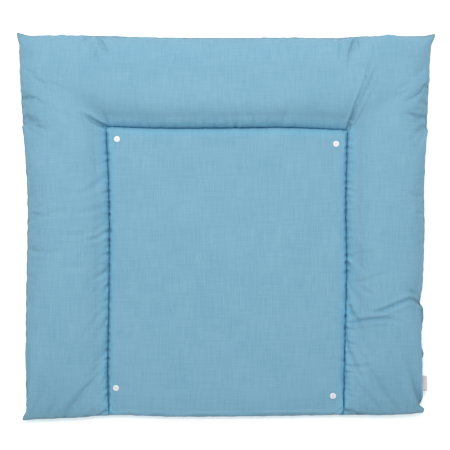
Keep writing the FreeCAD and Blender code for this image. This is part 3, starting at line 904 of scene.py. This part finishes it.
def chambray():
    """Blue cotton chambray: dyed warp and pale weft, with slubs that streak both ways, and painted light
    and shade along the seams.
    """
    nodes = Nodes("chambray")
    crossing = woven(nodes, COTTON_PITCH)
    warp_slub = nodes.noise(nodes.scaled(nodes.vector(), (420, 22, 1)), 1.0, 3.0, 0.6)
    weft_slub = nodes.noise(nodes.scaled(nodes.vector(), (18, 380, 1)), 1.0, 3.0, 0.6)
    cloud = nodes.noise(nodes.vector(), 14.0, 3.0, 0.5)
    paleness = nodes.math("MULTIPLY", warp_slub, 0.75)
    for value, share in ((weft_slub, 0.5), (cloud, 0.35), (crossing, 0.10)):
        paleness = nodes.math("ADD", paleness, nodes.math("MULTIPLY", value, share))
    paleness = nodes.math("SUBTRACT", paleness, 0.30, clamp=True)
    colour = nodes.mix(paleness, (0.094, 0.232, 0.330, 1), (0.194, 0.335, 0.428, 1))
    # Painted light and shade along the seams: a lift of light beside the channels, darker and bluer
    # shade in the crevices and deepest folds, greyer shade on the outer edge.
    crevice, beside, edge = nodes.parts(nodes.vector("painted_light_and_shade"))
    colour = nodes.tinted(colour, beside, (0.93, 1.09, 1.13))
    colour = nodes.tinted(colour, crevice, (0.24, 0.70, 0.90))
    colour = nodes.tinted(colour, edge, (0.84, 0.65, 0.56))
    slub_height = nodes.math("ADD", warp_slub, weft_slub)
    normal = nodes.bump(slub_height, 0.12, 0.4 * MM)
    normal = nodes.bump(nodes.math("ABSOLUTE", crossing), 0.25, 0.12 * MM, normal)
    roughness = nodes.varied(cloud, 0.1, 0.82)
    return nodes.finish(colour, roughness, normal, sheen=0.04, specular=0.25)


def fibre_fill():
    nodes = Nodes("polyester_fibre")
    tuft = nodes.noise(nodes.object_place(), 120.0, 6.0, 0.7)
    lump = nodes.noise(nodes.object_place(), 25.0, 3.0, 0.5)
    colour = nodes.mix(tuft, (0.72, 0.72, 0.70, 1), (0.90, 0.90, 0.88, 1))
    normal = nodes.bump(tuft, 0.6, 1.5 * MM, nodes.bump(lump, 0.5, 4 * MM))
    roughness = nodes.varied(tuft, 0.15, 0.8)
    return nodes.finish(colour, roughness, normal, sheen=0.3)


def sewing_thread():
    nodes = Nodes("sewing_thread")
    twist = nodes.noise(nodes.scaled(nodes.object_place(), (900, 900, 1500)), 1.0, 2.0, 0.6)
    colour = nodes.mix(twist, (0.02, 0.12, 0.24, 1), (0.05, 0.20, 0.34, 1))
    normal = nodes.bump(twist, 0.5, 0.1 * MM)
    roughness = nodes.varied(twist, 0.2, 0.5)
    return nodes.finish(colour, roughness, normal, sheen=0.1)


def snap_plastic():
    nodes = Nodes("snap_plastic")
    grain = nodes.noise(nodes.object_place(), 900.0, 3.0, 0.5)
    tint = nodes.noise(nodes.object_place(), 150.0, 2.0, 0.5)
    colour = nodes.mix(tint, (0.58, 0.57, 0.59, 1), (0.68, 0.65, 0.665, 1))
    normal = nodes.bump(grain, 0.08, 0.1 * MM)
    roughness = nodes.varied(grain, 0.12, 0.28)
    return nodes.finish(colour, roughness, normal, coat=0.15)


def label_ribbon():
    nodes = Nodes("label_ribbon")
    height = nodes.math("ABSOLUTE", woven(nodes, RIBBON_PITCH))
    rib = nodes.noise(nodes.scaled(nodes.vector(), (150, 900, 1)), 1.0, 2.0, 0.5)
    colour = nodes.mix(rib, (0.50, 0.445, 0.47, 1), (0.62, 0.565, 0.59, 1))
    normal = nodes.bump(height, 0.3, 0.08 * MM)
    roughness = nodes.varied(rib, 0.2, 0.45)
    return nodes.finish(colour, roughness, normal, sheen=0.15)


def studio_floor():
    nodes = Nodes("studio_floor")
    tone = nodes.noise(nodes.object_place(), 2.0, 2.0, 0.5)
    colour = nodes.mix(tone, (0.93, 0.93, 0.93, 1), (0.95, 0.95, 0.95, 1))
    nodes.shader.inputs["Emission Color"].default_value = (1, 1, 1, 1)
    nodes.shader.inputs["Emission Strength"].default_value = 0.2
    return nodes.finish(colour, 0.9)


CHAMBRAY = chambray()
FIBRE = fibre_fill()
THREAD = sewing_thread()
PLASTIC = snap_plastic()
RIBBON = label_ribbon()


def paint(obj, material):
    obj.data.materials.clear()
    obj.data.materials.append(material)


# ---- covers ----


def attach(piece, section):
    """A piece of the centre rides on the centre section's body. A side's piece has its place baked into
    its mesh."""
    if section == "centre":
        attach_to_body(piece, "centre_section")
        return
    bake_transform(piece)


def make_covers(x, y, top, bottom):
    spans = {
        "left": (0, 2 * grid.left),
        "centre": (2 * grid.left, 2 * grid.right),
        "right": (2 * grid.right, 2 * (grid.columns - 1)),
    }
    for layer, panel, cut, upwards in (
        ("top", top, TOP_CUT, True), ("bottom", bottom, BOTTOM_CUT, False)
    ):
        pattern = refine(flat_place(x, y, np.zeros_like(x), cut))
        # Painted shade in the crevices, deep folds and edge seam, and painted light beside the channels.
        tint = painted_light_and_shade(panel)
        for section, (first, last) in spans.items():
            name = f"{layer}_cover_{section}_fabric"
            piece = cover_piece(name, panel, pattern, tint, first, last, upwards)
            paint(piece, CHAMBRAY)
            attach(piece, section)
            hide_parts(f"{layer}_cover_{section}")


# ---- fillings ----


def spread(values, keep, times):
    """Each vertex takes the lowest or highest value of its neighbours, several rings out."""
    for _ in range(times):
        padded = np.pad(values, 1, mode="edge")
        around = [padded[1 + r : padded.shape[0] - 1 + r, 1 + c : padded.shape[1] - 1 + c]
                  for r in (-1, 0, 1) for c in (-1, 0, 1)]
        values = keep.reduce(around)
    return values


def make_filling(name, node, top, bottom, rows, columns, section):
    """Stuffing between the two panels, over a block of the unrefined grid. It stays clear of
    both, and it is thin where they come together."""
    block = (slice(rows[0], rows[1] + 1), slice(columns[0], columns[1] + 1))
    place = (smooth(top[..., :2], 12) + smooth(bottom[..., :2], 12))[block] / 2
    upper = smooth(spread(top[..., 2], np.minimum, 5), 6)[block] - 4 * MM
    lower = smooth(spread(bottom[..., 2], np.maximum, 3), 4)[block] + 3.5 * MM
    lumps = 0.8 * MM * noise(place[..., 0], place[..., 1], 18 * MM, 11)
    upper = np.minimum(upper, upper + lumps - 0.5 * MM)
    closed = CHANNEL_Z - 0.2 * MM
    upper = np.maximum(upper, closed + 0.5 * MM)
    lower = np.minimum(lower, closed)
    upper = np.concatenate([place, upper[..., None]], -1)[::2, ::2]
    lower = np.concatenate([place, lower[..., None]], -1)[::2, ::2]
    vertices = np.concatenate([upper.reshape(-1, 3), lower.reshape(-1, 3)])
    piece = new_object(name, vertices, two_skins(*upper.shape[:2], True))
    paint(piece, FIBRE)
    attach(piece, section)
    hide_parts(node)


def make_fillings(top, bottom):
    last_row, last_column = grid.rows - 1, grid.columns - 1
    left, right, seam = grid.left, grid.right, grid.seam
    for name, node, rows, columns, section in (
        ("left_rim_fibre", "left_rim_filling", (5, last_row - 5), (6, left - 4), "left"),
        ("right_rim_fibre", "right_rim_filling", (5, last_row - 5), (right + 4, last_column - 6),
         "right"),
        ("head_rim_fibre", "head_rim_filling", (seam + 4, last_row - 5), (left, right), "centre"),
        ("centre_wadding", "centre_filling", (4, seam - 4), (left + 4, right - 4), "centre"),
    ):
        make_filling(name, node, top, bottom, rows, columns, section)


# ---- stitches ----

STITCH = 3.2 * MM
STITCH_GAP = 0.5 * MM
STITCH_LIFT = 0.25 * MM  # how far a thread's own line is from the seam
THREAD_RADIUS = 0.28 * MM
THREAD_SIDES = 6
EDGE_INSET = 3 * MM  # how far inside the outline the edge seam is stitched


def run_of(line):
    """How far along a line each of its places is."""
    return np.concatenate([[0], np.cumsum(np.linalg.norm(np.diff(line, axis=0), axis=1))])


def lay_stitches(name, line):
    """A lockstitch row along a line of places: a needle thread above the cloth and a bobbin
    thread below it, each stitch a short thread that dips in at both ends."""
    run = run_of(line)
    count = int(run[-1] / STITCH)
    length = run[-1] / count
    shares = np.array([0, 0.18, 0.5, 0.82, 1])
    heights = np.array([-0.9, 0.5, 0.8, 0.5, -0.9]) * THREAD_RADIUS
    radii = np.array([0.5, 0.95, 1.0, 0.95, 0.5]) * THREAD_RADIUS
    turns = np.linspace(0, 2 * math.pi, THREAD_SIDES, endpoint=False)
    up = np.array((0, 0, 1))
    vertices, faces = [], []
    for stitch in range(count):
        at = stitch * length + shares * (length - STITCH_GAP)
        places = np.stack([np.interp(at, run, line[:, axis]) for axis in range(3)], -1)
        along = places[-1] - places[0]
        side = np.cross(along, up)
        side = side / np.linalg.norm(side)
        for sign in (1, -1):
            first = len(vertices)
            for place, height, radius in zip(places, heights, radii):
                middle = place + sign * (STITCH_LIFT + height) * up
                for turn in turns:
                    vertices.append(middle + radius * (math.cos(turn) * side + math.sin(turn) * up))
            last = first + THREAD_SIDES * (len(shares) - 1)
            for ring in range(first, last, THREAD_SIDES):
                for k in range(THREAD_SIDES):
                    a, b = ring + k, ring + (k + 1) % THREAD_SIDES
                    faces.append([a, a + THREAD_SIDES, b + THREAD_SIDES, b])
            faces.append([first + k for k in range(THREAD_SIDES)])
            faces.append([last + k for k in reversed(range(THREAD_SIDES))])
    piece = new_object(name, np.array(vertices), faces)
    paint(piece, THREAD)
    return piece


def make_stitches(top):
    left, right, seam = grid.left, grid.right, grid.seam
    edge = top.copy()
    edge[..., 0] -= EDGE_INSET * np.clip(edge[..., 0] / EDGE_X, -1, 1) * (np.abs(grid.X) > FOLD_X)
    edge[..., 1] -= EDGE_INSET * np.clip(edge[..., 1] / EDGE_Y, -1, 1)
    left_edge = [edge[0, left:2:-1], edge[3:-3, 0], edge[-1, 3 : left + 1]]
    right_edge = [edge[0, right:-3], edge[3:-3, -1], edge[-1, -4 : right - 1 : -1]]
    for name, line, section in (
        ("left_channel", top[1 : seam + 1, left], "centre"),
        ("right_channel", top[1 : seam + 1, right], "centre"),
        ("head_channel", top[seam, left : right + 1], "centre"),
        ("head_edge", edge[-1, left : right + 1], "centre"),
        ("foot_edge", edge[0, left : right + 1], "centre"),
        ("left_edge", np.concatenate(left_edge), "left"),
        ("right_edge", np.concatenate(right_edge), "right"),
    ):
        piece = lay_stitches(f"{name}_lockstitch", line)
        attach(piece, section)
        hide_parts(f"{name}_stitching")


# ---- label ----

LABEL_THICK = 0.35 * MM
LABEL_CAUGHT = 2 * MM  # how much of each end the edge seam holds
LABEL_CLEAR = 3.5 * MM  # from the loop's tip to the end of the frame's own box
LABEL_SAG = 1.5 * MM
LABEL_WAVE = 0.5 * MM
LABEL_STEPS = 12


def ribbon_loop(base, tip, height):
    """Middle line of the folded ribbon, out along its upper half and back along its lower one,
    as (x, z) places."""
    share = np.linspace(0, 1, LABEL_STEPS)
    x = base + (tip - base) * share
    gap = LABEL_THICK * (0.6 + 0.5 * np.sin(math.pi * share))
    sag = -LABEL_SAG * share**2
    upper = np.stack([x, height + sag + gap], -1)
    lower = np.stack([x, height + sag - gap], -1)
    return np.concatenate([upper, lower[::-1]])


def make_label(top):
    """A blank ribbon folded in half, its two ends caught in the edge seam."""
    low, high = LABEL_BOX
    middle_y, width = (low.y + high.y) / 2, high.y - low.y
    seam = top[int(np.abs(grid.y - middle_y).argmin()), -1]
    base, tip = seam[0] - LABEL_CAUGHT, high.x - LABEL_CLEAR
    loop = ribbon_loop(base, tip, float(seam[2]))
    direction = np.gradient(loop, axis=0)
    out = np.stack([-direction[:, 1], direction[:, 0]], -1)
    out /= np.linalg.norm(out, axis=1, keepdims=True)
    run = run_of(loop)
    across = np.linspace(-0.5, 0.5, 9)
    vertices, pattern = [], []
    for face in (1, -1):
        for (x, z), along in zip(loop + face * out * LABEL_THICK / 2, run):
            reach = (x - base) / (tip - base)
            for share in across:
                y = middle_y + share * width * (1 - 0.05 * reach) - 0.8 * MM * reach
                vertices.append((x, y, z + LABEL_WAVE * math.sin(4.2 * share + 0.7) * reach))
                pattern.append((share * width, along, 0))
    faces = two_skins(len(loop), len(across), False)
    label = new_object("folded_ribbon_label", np.array(vertices), faces)
    set_vectors(label, "pattern", np.array(pattern))
    paint(label, RIBBON)
    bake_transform(label)
    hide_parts("side_label")


# ---- camera, light and floor ----


def make_stage():
    bpy.ops.mesh.primitive_plane_add(size=8, location=(0, 0, -0.2 * MM))
    floor = bpy.context.object
    floor.name = "studio_floor"
    paint(floor, studio_floor())

    world = bpy.data.worlds.new("studio")
    bpy.context.scene.world = world
    world.use_nodes = True
    background = world.node_tree.nodes["Background"]
    background.inputs[0].default_value = (0.86, 0.968, 1.0, 1)
    background.inputs[1].default_value = 0.84
    add_light("overhead_softbox", (-0.1, 0.80, 1.60), (1.7, 1.1), 31, (1.0, 0.965, 0.92))
    add_light("low_fill", (0.0, -2.2, 1.0), (2.0, 1.0), 4, (1.0, 1.0, 1.0))


def add_light(name, place, size, watts, colour):
    """A rectangular softbox that faces the middle of the pad."""
    light = bpy.data.lights.new(name, "AREA")
    light.shape = "RECTANGLE"
    light.size, light.size_y = size
    light.energy = watts
    light.color = colour
    lamp = add_object(name, light)
    lamp.location = place
    from_pad = Vector(place) - Vector((0, 0.05, 0))
    lamp.rotation_euler = from_pad.to_track_quat("Z", "Y").to_euler()


VIEW_WIDTH = 860.6 * MM  # what the picture spans, a little more than the pad
VIEW_Z = 30 * MM  # at this height
CAMERA_PLACE = (-2.0 * MM, 2.5 * MM, 3.0)


def make_camera():
    """Straight above the pad."""
    data = bpy.data.cameras.new("camera")
    data.sensor_width = 36
    data.lens = data.sensor_width * (CAMERA_PLACE[2] - VIEW_Z) / VIEW_WIDTH
    camera = add_object("camera", data)
    camera.location = CAMERA_PLACE
    bpy.context.scene.camera = camera


def main():
    x, y = pull_ears(*sewn_place())
    top = close_channels(relax_corners(fill_out(top_panel(x, y))))
    bottom = bottom_panel(x, y)
    bottom[..., 2] = np.maximum(bottom[..., 2], 0.05 * MM)
    make_covers(x, y, lay_folds(refine(top)), refine(bottom))
    make_fillings(top, bottom)
    make_stitches(top)
    make_label(top)
    for name, obj in frame["nodes"].items():
        if name.startswith("snap_"):
            paint(obj, PLASTIC)
    make_stage()
    make_camera()
    bpy.context.scene.view_settings.view_transform = "Standard"


main()
